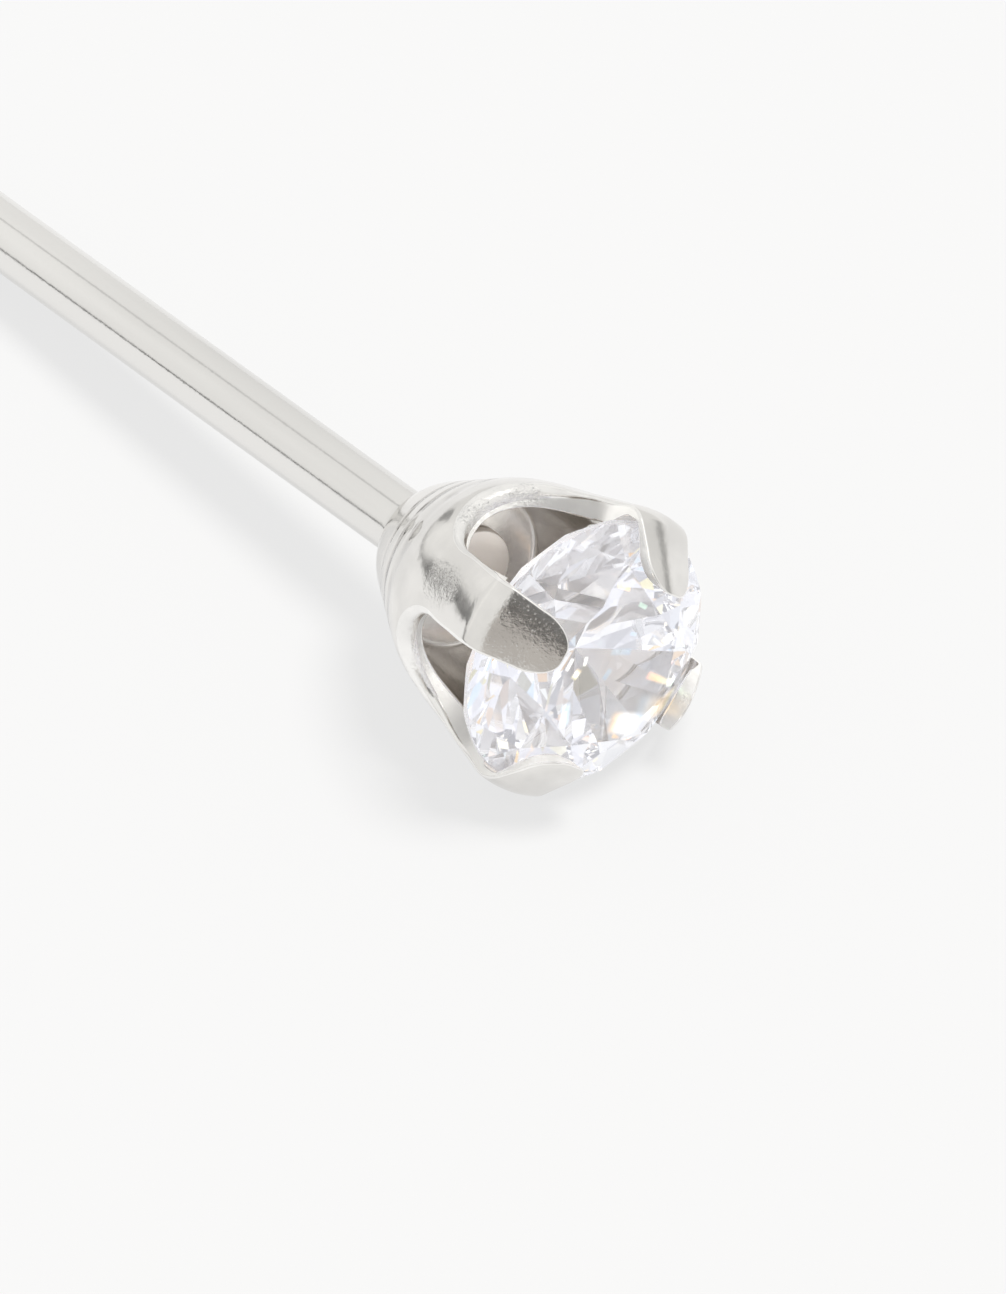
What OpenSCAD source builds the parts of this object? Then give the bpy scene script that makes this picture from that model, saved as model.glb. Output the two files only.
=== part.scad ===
// Piercing stud: a straight headed post, a bell-shaped setting with four folded claws, and a
// round brilliant-cut stone. It lies on a surface, on the stone's edge and the post's tail.
//
// The three pieces are drawn standing on the stud's own axis: Z runs along the post towards the
// stone, and Z = 0 is the back of the setting, where the post comes out. lay_down() then lays
// the stud on its side, with the stone facing -Y, the post pointing to +Y and +Z up.

/* [Stone] */
// Diameter of the stone at its girdle
stone_d = 3.0; // [2.8:0.05:3.1]
// Width of the table as a share of the stone's diameter
table_share = 0.57; // [0.5:0.01:0.62]
// Slope of the main crown facets, in degrees
crown_angle = 34; // [31:0.5:36]
// Slope of the main pavilion facets, in degrees
pavilion_angle = 41; // [39:0.5:43]
// Thickness of the girdle where a main facet meets it
girdle_h = 0.1; // [0.08:0.01:0.14]

/* [Post] */
// Diameter of the post
post_d = 0.72; // [0.7:0.01:0.8]
// Length of the post behind the setting, with its rounded tip
post_l = 10.5; // [8:0.1:12]
// Diameter of the neck that passes through the back of the setting
neck_d = 0.6; // [0.5:0.01:0.62]
// Taper of the neck and of the head's rim, on the radius
taper = 0.03; // [0.01:0.01:0.04]
// Length of the tapered tip
tip_l = 0.6; // [0.4:0.05:1]
// Radius of the rounded end of the tip
tip_r = 0.16; // [0.1:0.01:0.2]
// Diameter of the flat head inside the cup
head_d = 0.9; // [0.86:0.01:1]
// Thickness of the flat head
head_h = 0.08; // [0.06:0.01:0.12]

/* [Setting] */
// Radius of the round back of the bell
dome_r = 0.857; // [0.85:0.001:0.87]
// Thickness of the claws and of the wall round the cup
wall = 0.24; // [0.18:0.01:0.26]
// Height of the cup's floor above the back
floor_z = 0.9; // [0.8:0.01:1]
// Radius of the cup's floor
floor_r = 0.88; // [0.8:0.01:0.9]
// Height of the girdle above the back
girdle_z = 2.92; // [2.9:0.01:3]

/* [Claws] */
// Height of the bottom of the slots between the claws
slot_z = 1.58; // [1.5:0.01:1.7]
// Half width of a slot where the claws start to fold
slot_half_w = 0.84; // [0.8:0.005:0.85]
// Spread of a slot's sides, as half width gained for each millimetre of height
slot_spread = 0.23; // [0.15:0.01:0.3]
// Radius of the outside of the fold
fold_r = 0.34; // [0.3:0.01:0.38]
// Slope of the folded tips, in degrees
fold_angle = 45; // [40:1:50]
// Length of the flat part of a folded tip
fold_l = 0.78; // [0.6:0.01:0.85]
// Width of a folded tip near its end
tip_w = 0.68; // [0.6:0.01:0.74]

/* [Fit] */
// Play between the pieces
gap = 0.025; // [0.02:0.005:0.03]

/* [Hidden] */
$fn = 96;

// Outline of the bell and of the straight part of the claws above its round back.
// Columns: height, outer radius
HEIGHT = 0;
RADIUS = 1;
BELL = [
    [1.14, 1.163],
    [1.33, 1.245],
    [1.66, 1.345],
    [2.06, 1.444],
    [2.48, 1.548],
    [2.78, 1.614]
];

post_r = post_d / 2;
head_r = head_d / 2;
stone_r = stone_d / 2;
table_r = stone_r * table_share;
neck_r = neck_d / 2;
bore_r = neck_r + gap;
claws = 4;

// The round back is a ball that passes through the mouth of the bore at Z = 0
dome_z = sqrt(pow(dome_r, 2) - pow(post_r, 2));
// The bell leaves the ball along a tangent that reaches the first point of the outline
flare_angle = 28;
flare_z = dome_z - dome_r * sin(flare_angle);
flare_r = dome_r * cos(flare_angle);

// The fold is an arc from the straight part of the claw to the slope of its tip
bell_top = BELL[len(BELL) - 1];
bell_last = BELL[len(BELL) - 2];
lean = atan((bell_top[RADIUS] - bell_last[RADIUS]) / (bell_top[HEIGHT] - bell_last[HEIGHT]));
fold_centre_r = bell_top[RADIUS] - fold_r * cos(lean);
fold_centre_z = bell_top[HEIGHT] + fold_r * sin(lean);
fold_steps = 7;
claw_max_r = fold_centre_r + fold_r;

// Point of the fold at a distance from its centre, at an angle above the radial direction
function fold_point(distance, angle) = [
    fold_centre_r + distance * cos(angle),
    fold_centre_z + distance * sin(angle)
];

// Normals turn from the straight part to the tip, whose own normal stands fold_normal above
fold_normal = 90 - fold_angle;
function fold_arc(distance) = [
    for (step = [0 : fold_steps])
        fold_point(distance, -lean + (fold_normal + lean) * step / fold_steps)
];
// End of a folded tip, on the outside or the inside of the wall
function fold_end(distance) =
    fold_point(distance, fold_normal) + fold_l * [-cos(fold_angle), sin(fold_angle)];
tip_end = fold_end(fold_r);
tip_end_r = tip_end[0];

// Slots: a round bottom that runs into two straight sides
slot_top_z = bell_top[HEIGHT] + 0.05;
side_angle = atan(slot_spread);
slot_r = (slot_half_w - slot_spread * (slot_top_z - slot_z)) / (1 / cos(side_angle) - slot_spread);
slot_centre_z = slot_z + slot_r;

// Heights of the stone's facet corners above the middle of its girdle
half_girdle = girdle_h / 2;
table_z = half_girdle + (stone_r - table_r) * tan(crown_angle);
culet_z = -half_girdle - stone_r * tan(pavilion_angle);

// Rest: the stone's girdle and the end of the post's straight part lie on the surface and set the
// tilt of the axis. The corners of the two lower claws stay just above it.
rest_stone_z = girdle_z - half_girdle;
rest_tail_z = post_l - tip_l;
tilt = atan((stone_r - post_r) / (rest_stone_z + rest_tail_z));
lift = stone_r * cos(tilt) - rest_stone_z * sin(tilt);
front_y = -tip_end[1] * cos(tilt) - tip_end_r * sin(45) * sin(tilt);
back_y = post_l * cos(tilt);

module lay_down() {
    translate([0, -(front_y + back_y) / 2, lift])
        rotate([90 - tilt, 0, 0])
            children();
}

module post() {
    color("gainsboro")
        lay_down()
            rotate_extrude()
                post_outline();
}

// Half outline of the post: head, neck, shank, tapered tip and the round end of the tip. The back
// of the setting is held between the head and the shoulder where the neck begins.
module post_outline() {
    tip_top = -post_l + tip_r;
    polygon([
        [0, tip_top],
        [tip_r, tip_top],
        [post_r, -post_l + tip_l],
        [post_r, -gap],
        [neck_r, -gap],
        [neck_r - taper, floor_z + gap],
        [head_r, floor_z + gap],
        [head_r - taper, floor_z + gap + head_h],
        [0, floor_z + gap + head_h]
    ]);
    intersection() {
        translate([0, tip_top])
            circle(r = tip_r);
        translate([0, -post_l])
            square([post_r, tip_l]);
    }
}

module claw_setting() {
    color("silver")
        lay_down()
            difference() {
                union() {
                    slotted_bell();
                    folded_tips();
                }
                seat();
                translate([0, 0, -1])
                    cylinder(r = bore_r, h = floor_z + 2);
            }
}

// Bell and straight claws
module slotted_bell() {
    difference() {
        intersection() {
            bell();
            cylinder(r = 2 * stone_r, h = slot_top_z);
        }
        for (turn = [0 : 360 / claws : 359])
            rotate([0, 0, turn])
                slot();
    }
}

// The whole wall turned about the axis: round back, flared bell, claws and folded rim
module bell() {
    rotate_extrude()
        union() {
            polygon(concat(
                [[0, floor_z], [0, flare_z], [flare_r, flare_z]],
                [for (row = BELL) [row[RADIUS], row[HEIGHT]]],
                fold_arc(fold_r),
                [tip_end],
                [fold_end(fold_r - wall)],
                reversed(fold_arc(fold_r - wall)),
                reversed([for (row = BELL) if (row[HEIGHT] > floor_z + 0.5) [row[RADIUS] - wall, row[HEIGHT]]]),
                [[floor_r, floor_z]]
            ));
            intersection() {
                translate([0, dome_z])
                    circle(r = dome_r);
                square([dome_r, flare_z + 0.001]);
            }
        }
}

function reversed(list) = [for (i = [len(list) - 1 : -1 : 0]) list[i]];

// One slot, cut outwards along +X
module slot() {
    side_x = slot_r * cos(side_angle);
    side_z = slot_centre_z - slot_r * sin(side_angle);
    over = 0.1;
    rotate([90, 0, 90])
        linear_extrude(height = 2 * stone_r)
            union() {
                translate([0, slot_centre_z])
                    circle(r = slot_r);
                polygon([
                    [-side_x, side_z],
                    [side_x, side_z],
                    [slot_half_w + over * slot_spread, slot_top_z + over],
                    [-slot_half_w - over * slot_spread, slot_top_z + over]
                ]);
            }
}

// The folded rim, kept only where the four tips are
module folded_tips() {
    intersection() {
        bell();
        for (turn = [45 : 360 / claws : 359])
            rotate([0, 0, turn])
                translate([0, 0, slot_top_z - 0.02])
                    linear_extrude(height = 2)
                        tip_plan();
    }
}

// Plan of one claw tip along +X: full width at the fold, narrower and round at the end
module tip_plan() {
    root_half_w = claw_max_r * sin(45 - asin(slot_half_w / claw_max_r));
    round_r = 0.28;
    half_w = tip_w / 2;
    polygon([
        [tip_end_r + round_r, -half_w],
        [claw_max_r - 0.1, -root_half_w],
        [2 * stone_r, -root_half_w],
        [2 * stone_r, root_half_w],
        [claw_max_r - 0.1, root_half_w],
        [tip_end_r + round_r, half_w]
    ]);
    for (side = [-1, 1])
        translate([tip_end_r + round_r, side * (half_w - round_r)])
            circle(r = round_r);
    translate([tip_end_r, -(half_w - round_r)])
        square([round_r + 0.01, 2 * (half_w - round_r)]);
}

// Room for the stone with the play round it, a little higher above the corners of its facets
module seat() {
    side = gap / cos(crown_angle) + 0.03;
    translate([0, 0, girdle_z])
        rotate_extrude()
            polygon([
                [0, culet_z - gap / cos(pavilion_angle)],
                [stone_r + gap, -half_girdle - gap],
                [stone_r + gap, half_girdle + side - gap * tan(crown_angle)],
                [table_r, table_z + side],
                [0, table_z + side]
            ]);
}

module stone() {
    color("aliceblue")
        lay_down()
            translate([0, 0, girdle_z])
                brilliant();
}

// Round brilliant cut: table, 8 stars, 8 bezels and 16 upper halves on the crown, and
// 16 lower halves and 8 mains on the pavilion. Rings of corners run round the axis, and the
// bezels are centred on the claws.
module brilliant() {
    // Corners where a star or a pavilion half ends, on the planes of the two mains beside it
    star_r = (stone_r + table_r) / 2 * 1.02;
    star_z = half_girdle + (stone_r - star_r * cos(22.5)) * tan(crown_angle);
    low_r = stone_r * 0.28;
    low_z = -half_girdle - (stone_r - low_r * cos(22.5)) * tan(pavilion_angle);
    // The halves cut a shallow scallop into the girdle between the mains
    dip = stone_r * (1 - cos(11.25)) / cos(11.25);
    top_dip = dip * (star_z - half_girdle) / (stone_r - star_r);
    low_dip = dip * (-half_girdle - low_z) / (stone_r - low_r);
    points = concat(
        ring(8, table_r, table_z, 0),
        ring(8, star_r, star_z, 22.5),
        [for (i = [0 : 31]) on_circle(stone_r, i * 11.25, half_girdle - (i % 2) * top_dip)],
        [for (i = [0 : 31]) on_circle(stone_r, i * 11.25, -half_girdle + (i % 2) * low_dip)],
        ring(8, low_r, low_z, 22.5),
        [[0, 0, culet_z]]
    );
    // Where each ring starts in the list of points
    star = 8;
    top = 16;
    low = 48;
    half = 80;
    culet = 88;
    polyhedron(points = points, faces = concat(
        [[for (i = [7 : -1 : 0]) i]],
        [for (i = [0 : 7]) [i, (i + 1) % 8, star + i]],
        [for (i = [0 : 7]) [i, star + i, top + 4 * i, star + (i + 7) % 8]],
        [for (i = [0 : 7]) [star + i, top + 4 * i + 2, top + 4 * i + 1, top + 4 * i]],
        [for (i = [0 : 7]) [star + i, top + (4 * i + 4) % 32, top + 4 * i + 3, top + 4 * i + 2]],
        [for (i = [0 : 31]) [top + i, top + (i + 1) % 32, low + (i + 1) % 32, low + i]],
        [for (i = [0 : 7]) [half + i, low + 4 * i, low + 4 * i + 1, low + 4 * i + 2]],
        [for (i = [0 : 7]) [half + i, low + 4 * i + 2, low + 4 * i + 3, low + (4 * i + 4) % 32]],
        [for (i = [0 : 7]) [culet, half + (i + 7) % 8, low + 4 * i, half + i]]
    ));
}

function on_circle(r, angle, z) = [r * cos(angle), r * sin(angle), z];
function ring(count, r, z, start) = [for (i = [0 : count - 1]) on_circle(r, start + i * 360 / count, z)];

post();
claw_setting();
stone();
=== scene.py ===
# %% [markdown]
# # Piercing stud: the looks
#
# The CAD part gives three plain solids: the post, the setting with its claws, and the stone.
# This lesson gives each of them the surface of the real thing. It starts with the tools and the
# frame that every piece is placed in.

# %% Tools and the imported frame
import math

import bpy
import numpy as np
from mathutils import Matrix, Vector


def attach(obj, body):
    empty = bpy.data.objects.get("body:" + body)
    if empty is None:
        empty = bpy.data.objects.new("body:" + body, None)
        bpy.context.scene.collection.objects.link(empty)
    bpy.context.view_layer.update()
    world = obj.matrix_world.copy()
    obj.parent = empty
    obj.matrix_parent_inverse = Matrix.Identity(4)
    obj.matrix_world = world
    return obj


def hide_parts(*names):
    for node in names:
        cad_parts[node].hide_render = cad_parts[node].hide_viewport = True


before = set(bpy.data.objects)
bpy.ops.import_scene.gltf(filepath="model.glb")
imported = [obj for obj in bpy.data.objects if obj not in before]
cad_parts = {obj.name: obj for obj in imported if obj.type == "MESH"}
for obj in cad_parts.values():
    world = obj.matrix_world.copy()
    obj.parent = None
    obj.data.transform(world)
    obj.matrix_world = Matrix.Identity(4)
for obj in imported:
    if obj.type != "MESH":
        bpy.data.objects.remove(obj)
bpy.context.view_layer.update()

# %% [markdown]
# The stud is drawn standing up, in millimetres: Z runs along the post towards the stone, and
# Z = 0 is the back of the setting. A finished piece is then laid down with one matrix, the same
# way as the CAD model is: the stone faces -Y, the post points to +Y, and the axis is tilted a
# little, because the stone is thicker than the post.

# %% Where the stud lies
MM = 0.001
TILT = math.radians(5.10137)
SHIFT_Y = -3.3834
LIFT = 1.23886
TURN = Matrix.Rotation(math.radians(90) - TILT, 4, "X")
LAID = Matrix.Scale(MM, 4) @ Matrix.Translation((0, SHIFT_Y, LIFT)) @ TURN


def deselect():
    """Leaves nothing selected, so that the next operator acts on its own piece only."""
    if bpy.context.object and bpy.context.object.mode != "OBJECT":
        bpy.ops.object.mode_set(mode="OBJECT")
    bpy.ops.object.select_all(action="DESELECT")


def pick(*pieces):
    """Selects pieces and makes the last one active."""
    deselect()
    for piece in pieces:
        piece.select_set(True)
    bpy.context.view_layer.objects.active = pieces[-1]
    return pieces[-1]


def lay_down(piece):
    """Lays a standing piece on its side, in metres, and applies its place to its mesh."""
    pick(piece)
    piece.matrix_world = LAID
    bpy.ops.object.transform_apply(location=True, rotation=True, scale=True)
    return piece


def told(piece):
    """Prints how many triangles a piece has and its size in its own units."""
    size = [round(value, 4) for value in piece.dimensions]
    triangles = sum(len(face.vertices) - 2 for face in piece.data.polygons)
    print(piece.name, "triangles:", triangles, "size:", size)
    return piece


deselect()

# %% [markdown]
# ## The curves of the setting's wall
#
# The real setting is turned from bar: a round back, a flaring bell and a straight tube. Four
# slots leave four claws, and their ends are folded over the stone. Outside and inside are both
# shapes turned about the axis, so each is one curve of radius against height. Each curve is a
# few listed points, with arcs and smooth stretches between them.

# %% Outside and inside of the wall
DOME_R = 0.857
POST_R = 0.36
BORE_R = 0.325
DOME_Z = math.sqrt(DOME_R**2 - POST_R**2)
FLARE = math.radians(28)
FLOOR_Z = 0.9
BELL = [(1.163, 1.14), (1.245, 1.33), (1.345, 1.66), (1.444, 2.06), (1.548, 2.48), (1.614, 2.78)]
LEAN = math.radians(12.4074)
FOLD_CENTRE = (1.28194, 2.85305)
FOLD_R = 0.34
FOLD_SLOPE = math.radians(45)
FOLD_L = 0.78

STONE_R = 1.5
TABLE_R = 0.57 * STONE_R
GIRDLE_Z = 2.92
HALF_GIRDLE = 0.05
CROWN = math.radians(34)
PAVILION = math.radians(41)
GAP = 0.025


def smoothed(points, step):
    """Points along a smooth curve through the given points, about one step apart."""
    points = [Vector(point) for point in points]
    ends = [2 * points[0] - points[1], *points, 2 * points[-1] - points[-2]]
    curve = []
    for a, b, c, d in zip(ends, ends[1:], ends[2:], ends[3:]):
        count = max(1, round((c - b).length / step))
        for t in np.arange(count) / count:
            bend = (c - a) * t + (2 * a - 5 * b + 4 * c - d) * t**2 + (3 * b - a - 3 * c + d) * t**3
            curve.append(tuple(b + 0.5 * bend))
    return curve + [tuple(points[-1])]


def arc(centre, radius, start, end, count):
    """Points of an arc in the plane of radius and height."""
    return [
        (centre[0] + radius * math.cos(a), centre[1] + radius * math.sin(a))
        for a in np.linspace(start, end, count)
    ]


class Wall:
    """A curve of radius and height, read by its length from its start."""

    def __init__(self, points):
        self.r, self.z = np.array(points).T
        self.s = np.concatenate([[0], np.cumsum(np.hypot(np.diff(self.r), np.diff(self.z)))])
        self.length = self.s[-1]

    def at(self, s):
        """Radius and height at a place on the curve."""
        return np.interp(s, self.s, self.r), np.interp(s, self.s, self.z)

    def at_height(self, z):
        """Place on the curve at a height."""
        return float(np.interp(z, self.z, self.s))

    def at_tip_radius(self, r):
        """Place on the folded part, where the radius shrinks again."""
        top = int(np.argmax(self.r))
        return float(np.interp(r, self.r[: top - 1 : -1], self.s[: top - 1 : -1]))


dome = arc((0, DOME_Z), DOME_R, math.asin(-DOME_Z / DOME_R), -FLARE, 40)
bell = smoothed(BELL, 0.02)
fold = arc(FOLD_CENTRE, FOLD_R, -LEAN, FOLD_SLOPE, 24)
tip_end = (fold[-1][0] - FOLD_L * math.cos(FOLD_SLOPE), fold[-1][1] + FOLD_L * math.sin(FOLD_SLOPE))
outside = Wall([(BORE_R, 0), *dome, *bell, *fold[1:], tip_end])

seat_r = STONE_R + GAP
seat_low = GIRDLE_Z - HALF_GIRDLE - GAP
seat_high = 3.0133
seat_end = (TABLE_R, seat_high + (seat_r - TABLE_R) * math.tan(CROWN))
inside = Wall(
    [
        (BORE_R, FLOOR_Z),
        *smoothed([(0.86, FLOOR_Z), (0.882, FLOOR_Z + 0.006), (0.893, FLOOR_Z + 0.03)], 0.01),
        *smoothed([(1.075, 1.66), (1.168, 2.06), (1.275, 2.48), (1.33, 2.66)], 0.02),
        *smoothed(
            [(1.37, 2.71), (seat_r - 0.03, seat_low - 0.025), (seat_r, seat_low + 0.02)], 0.01
        ),
        *smoothed([(seat_r, seat_high - 0.02), (seat_r - 0.015, seat_high + 0.01)], 0.01),
        seat_end,
    ]
)
print("wall, outside and inside, mm:", round(outside.length, 3), round(inside.length, 3))

# %% [markdown]
# ## One eighth of the setting
#
# Half a claw, with half of the slot beside it, is all that has to be drawn. Its skins are plain
# grids: rows run round the stud and columns run up the wall. Each corner of a grid is laid on
# the curves by a rule. Cutting the slots with booleans would be quicker, but it leaves slivers
# along the edges, and they spoil the reflections of polished metal. A grid whose rows follow the
# slot keeps clean four-sided faces there, so the edge can be rounded afterwards.

# %% The slot's and the tip's outlines
SLOT_Z = 1.58
SLOT_R = 0.694
SLOT_CENTRE_Z = SLOT_Z + SLOT_R
SLOT_SPREAD = 0.23
SLOT_HALF_W = 0.84
SLOT_TOP_Z = 2.83
FOLD_Z = 2.74
SECTOR = math.radians(45)
CORNER = math.radians(50)
CORNER_Z = SLOT_CENTRE_Z - SLOT_R * math.cos(CORNER)
ROOT_W = 0.387
TIP_W = 0.34
TIP_ROUND = 0.28
ROOT_X = 1.522
INNER_ROOT_X = 1.46

CLAW_COLUMNS = 14
SLOT_COLUMNS = 12
STRAIGHT_ROWS = 30
TIP_ROWS = 38
RIM_R = 0.026
EDGE_R = 0.06
ROLL_R = 0.19
ROLL_FADE = 0.75
TIP_RIM_Z = 2.6
TIP_RIM_FADE = 0.2
SEAT_RIM_R = 0.004
TURN_Z = 2.3


def eased(t):
    """A share from 0 to 1, with soft ends."""
    t = min(1, max(0, t))
    return t * t * (3 - 2 * t)


def rim_radius(z):
    """Radius of the outer rim at a height: rolled wide at the slot's bottom, and fine above it."""
    top = EDGE_R + (RIM_R - EDGE_R) * min(1, max(0, (z - TIP_RIM_Z) / TIP_RIM_FADE))
    return top + (ROLL_R - top) * (1 - eased((z - SLOT_Z) / ROLL_FADE))


def even(points, count):
    """The same line with a number of points at even distances."""
    points = np.array(points, float)
    s = np.concatenate([[0], np.cumsum(np.linalg.norm(np.diff(points, axis=0), axis=1))])
    at = np.linspace(0, s[-1], count)
    return np.column_stack([np.interp(at, s, column) for column in points.T])


def slot_half_width(z):
    """Half width of a slot at a height: round at the bottom, then with straight sides."""
    side = math.atan(SLOT_SPREAD)
    if z < SLOT_CENTRE_Z - SLOT_R * math.sin(side):
        return math.sqrt(max(0, SLOT_R**2 - (SLOT_CENTRE_Z - z) ** 2))
    return SLOT_HALF_W - SLOT_SPREAD * (SLOT_TOP_Z - z)


def claw_half_width(wall, z):
    """Half width of a claw beside the slot, measured square to the claw's middle."""
    r = wall.at(wall.at_height(z))[0]
    return r * math.sin(SECTOR - math.asin(slot_half_width(z) / r))


def tip_plan():
    """Edge of a folded tip in plan: distance from the axis and half width, root to end."""
    centre_x = tip_end[0] + TIP_ROUND
    flank = [
        (ROOT_X + (centre_x - ROOT_X) * t, ROOT_W + (TIP_W - ROOT_W) * t)
        for t in np.linspace(0, 1, 12)
    ]
    corner = [
        (centre_x + TIP_ROUND * math.cos(a), TIP_W - TIP_ROUND + TIP_ROUND * math.sin(a))
        for a in np.radians(np.linspace(90, 180, 41))
    ]
    split = 20
    return flank + corner[1 : split + 1], corner[split:] + [(tip_end[0], 0)]


def tip_edges(wall):
    """A claw's edge on one skin, from the straight part to the corner of the tip, and the edge of
    the tip's end from its middle to that corner. Both are half widths and places on the wall."""
    flank, end = tip_plan()
    inner = wall is inside
    side = []
    for z in np.linspace(FOLD_Z, SLOT_TOP_Z, 6):
        w = claw_half_width(outside, z) if inner else claw_half_width(wall, z)
        side.append((w, wall.at_height(z)))
    root_s = wall.at_tip_radius(seat_r - 0.01 if inner else math.hypot(ROOT_X, ROOT_W))
    for s in np.linspace(side[-1][1], root_s, 12)[1:-1]:
        side.append((ROOT_W, s))
    for x, w in flank:
        if not inner or x < INNER_ROOT_X:
            side.append((w, wall.at_tip_radius(math.hypot(x, w))))
    end = [(w, wall.at_tip_radius(math.hypot(x, w))) for x, w in reversed(end)]
    return even(side, TIP_ROWS + 1), even(end, CLAW_COLUMNS + 1)


def straight_edge(wall):
    """A claw's edge on one skin from the slot's corner to the straight part's end. The inside
    turns from the slot's direction to the claw's own direction near the fold."""
    rows = []
    for z in np.linspace(CORNER_Z, FOLD_Z, STRAIGHT_ROWS + 1):
        w = claw_half_width(wall, z)
        if wall is inside:
            turned = eased((z - TURN_Z) / (FOLD_Z - TURN_Z))
            w += (claw_half_width(outside, z) - w) * turned
        rows.append((w, wall.at_height(z)))
    return np.array(rows)


def on_wall(wall, w, s):
    """Point of the wall at a half width and a place along the curve."""
    r, z = wall.at(s)
    return Vector((math.sqrt(max(0, r * r - w * w)), w, z))


print("claw's half width at the corner, mm:", round(claw_half_width(outside, CORNER_Z), 3))

# %% [markdown]
# Each skin has two grids: one below the slots, and one for the claw, whose tip is a patch fitted
# between its four edges. Blender's own grid is added with the right number of rows and columns,
# and only its corners are moved. Narrow strips join the skins to the cut.

# %% The grids of one eighth
BORE_ROWS = 6
BANK_SHARE = 1.35
BANK_MORE = 0.008


def lay_grid(columns, rows, place):
    """Adds a grid of faces and lays each of its corners by a rule of column and row."""
    deselect()
    bpy.ops.mesh.primitive_grid_add(x_subdivisions=columns, y_subdivisions=rows, size=2)
    piece = bpy.context.object
    for corner in piece.data.vertices:
        column = round((corner.co.x + 1) / 2 * columns)
        row = round((corner.co.y + 1) / 2 * rows)
        corner.co = place(column, row)
    return piece


class Skin:
    """One side of the wall. Its rim runs from the slot's bottom, up the claw's side, to the middle
    of the tip. A narrow band follows the rim, so that the rim can be rounded inside it. The rows
    below a height, fan_z, are even, and the rows between it and the slot fan out."""

    def __init__(self, wall, fan_z, rows_below, rows_between):
        self.wall = wall
        self.fan_s = wall.at_height(fan_z)
        self.rows_below = rows_below
        self.rows_between = rows_between
        self.rows = rows_below + rows_between
        rim = []
        for phi in np.linspace(0, CORNER, SLOT_COLUMNS + 1):
            s = wall.at_height(SLOT_CENTRE_Z - SLOT_R * math.cos(phi))
            rim.append((SECTOR - math.asin(SLOT_R * math.sin(phi) / wall.at(s)[0]), s))
        side, end = tip_edges(wall)
        for w, s in [*straight_edge(wall)[1:], *side[1:], *end[-2::-1]]:
            rim.append((math.asin(w / wall.at(s)[0]), s))
        self.rim = np.array(rim)
        heights = wall.at(self.rim[:, 1])[1]
        radii = np.array([rim_radius(z) if wall is outside else RIM_R for z in heights])
        self.bank = self.moved_rim(BANK_SHARE * radii + BANK_MORE)
        corner_angle, corner_s = self.bank[SLOT_COLUMNS]
        self.foot = [(corner_angle * i / CLAW_COLUMNS, corner_s) for i in range(CLAW_COLUMNS)]
        self.foot += [tuple(point) for point in self.bank[SLOT_COLUMNS::-1]]
        bank_angle, bank_s = self.bank.T
        half_width = np.column_stack([wall.at(bank_s)[0] * np.sin(bank_angle), bank_s])
        self.straight = half_width[SLOT_COLUMNS:][: STRAIGHT_ROWS + 1]
        self.side = half_width[SLOT_COLUMNS + STRAIGHT_ROWS :][: TIP_ROWS + 1]
        self.end = half_width[: -CLAW_COLUMNS - 2 : -1]
        self.centre = np.linspace(self.side[0][1], self.end[0][1], TIP_ROWS + 1)

    def moved_rim(self, distances):
        """The rim's line moved away from the cut, along the skin. Each point is an angle round the
        axis and a place on the wall."""
        angle, s = self.rim.T
        r = self.wall.at(s)[0]
        run = np.column_stack([np.gradient(angle) * r, np.gradient(s)])
        run /= np.linalg.norm(run, axis=1)[:, None]
        moved = self.rim + distances[:, None] * np.column_stack([-run[:, 1] / r, run[:, 0]])
        moved[0][0] = SECTOR
        moved[-1][0] = 0
        return moved

    def polar(self, angle, s):
        """Point at an angle round the axis and a place on the wall."""
        r, z = self.wall.at(s)
        return Vector((r * math.cos(angle), r * math.sin(angle), z))

    def lower(self, column, row):
        """The part below the slots: even rows, then rows that fan out to the slot's edge."""
        even_angle = SECTOR * column / (CLAW_COLUMNS + SLOT_COLUMNS)
        if row <= self.rows_below:
            return self.polar(even_angle, self.fan_s * row / self.rows_below)
        t = (row - self.rows_below) / self.rows_between
        angle, s = self.foot[column]
        angle = even_angle + (angle - even_angle) * eased(t)
        return self.polar(angle, self.fan_s + (s - self.fan_s) * t)

    def claw(self, column, row):
        """The claw: straight rows, then a patch that is fitted between the tip's four edges."""
        u = column / CLAW_COLUMNS
        if row == 0:
            return self.polar(*self.foot[column])
        if row < STRAIGHT_ROWS:
            w, s = self.straight[row]
            return on_wall(self.wall, w * u, s)
        v = (row - STRAIGHT_ROWS) / TIP_ROWS
        start_w, start_s = self.side[0]
        side = self.side[row - STRAIGHT_ROWS]
        end = self.end[column]
        start = np.array((start_w * u, start_s))
        centre = np.array((0, self.centre[row - STRAIGHT_ROWS]))
        corners = (
            (1 - u) * (1 - v) * np.array((0, start_s))
            + u * (1 - v) * self.side[0]
            + (1 - u) * v * self.end[0]
            + u * v * self.end[-1]
        )
        w, s = (1 - v) * start + v * end + (1 - u) * centre + u * side - corners
        return on_wall(self.wall, w, s)

    def points(self, line):
        """Points of a line on this skin."""
        return [self.polar(angle, s) for angle, s in line]


outer_skin = Skin(outside, fan_z=1.0, rows_below=40, rows_between=24)
inner_skin = Skin(inside, fan_z=1.15, rows_below=24, rows_between=16)
all_columns = CLAW_COLUMNS + SLOT_COLUMNS
claw_rows = STRAIGHT_ROWS + TIP_ROWS


def bore_place(column, row):
    """The bore in the back, which the post's neck goes through."""
    angle = SECTOR * column / all_columns
    return Vector((BORE_R * math.cos(angle), BORE_R * math.sin(angle), FLOOR_Z * row / BORE_ROWS))


def lay_strip(line, other):
    """A strip of faces between two lines of points."""
    return lay_grid(len(line) - 1, 1, lambda column, row: (line, other)[row][column])


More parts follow.
